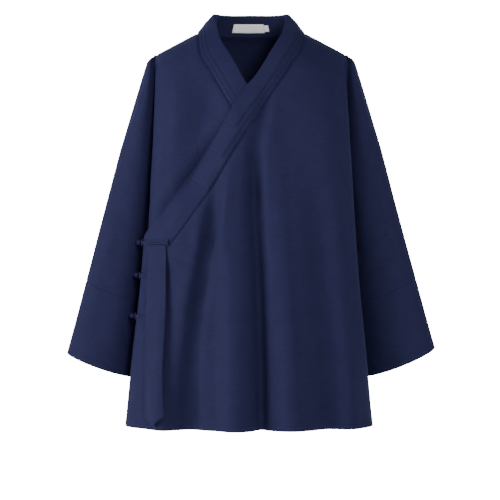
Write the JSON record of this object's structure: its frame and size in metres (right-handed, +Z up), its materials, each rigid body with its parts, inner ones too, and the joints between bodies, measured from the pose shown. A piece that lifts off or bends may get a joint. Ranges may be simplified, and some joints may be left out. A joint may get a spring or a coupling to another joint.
{
  "type": "taoist priest robe",
  "caption": "Dark blue cross-collar robe cut to the hip, with wide sleeves, a stepped collar band, knotted frogs and a hanging ribbon at one side.",
  "frame": {"origin": "in the middle of the neck opening, level with the neck ends of the shoulders, where the wearer's shoulders hold the robe up", "axes": "+Z up, +X to the wearer's left, +Y to the wearer's back, so the front of the robe faces -Y"},
  "size_m": [0.736, 0.2829, 0.8266],
  "materials": {
    "cloth": "matte brushed weave, dark indigo blue",
    "collar": "the same cloth, doubled and pressed",
    "cord": "rolled cord of the same cloth, slightly satin",
    "label": "plain white woven tape"
  },
  "bodies": {
    "root": {"front_outer": "cloth", "front_under": "cloth", "back": "cloth", "sleeve_end_left": "cloth", "sleeve_end_right": "cloth", "ribbon": "cloth", "collar_band": "collar", "collar_step_wide": "collar", "collar_step_middle": "collar", "collar_step_narrow": "collar", "frog_top_loop": "cord", "frog_top_knot": "cord", "frog_middle_loop": "cord", "frog_middle_knot": "cord", "frog_bottom_loop": "cord", "frog_bottom_knot": "cord", "neck_label": "label", "neck_size_tab": "label"}
  },
  "joints": []
}
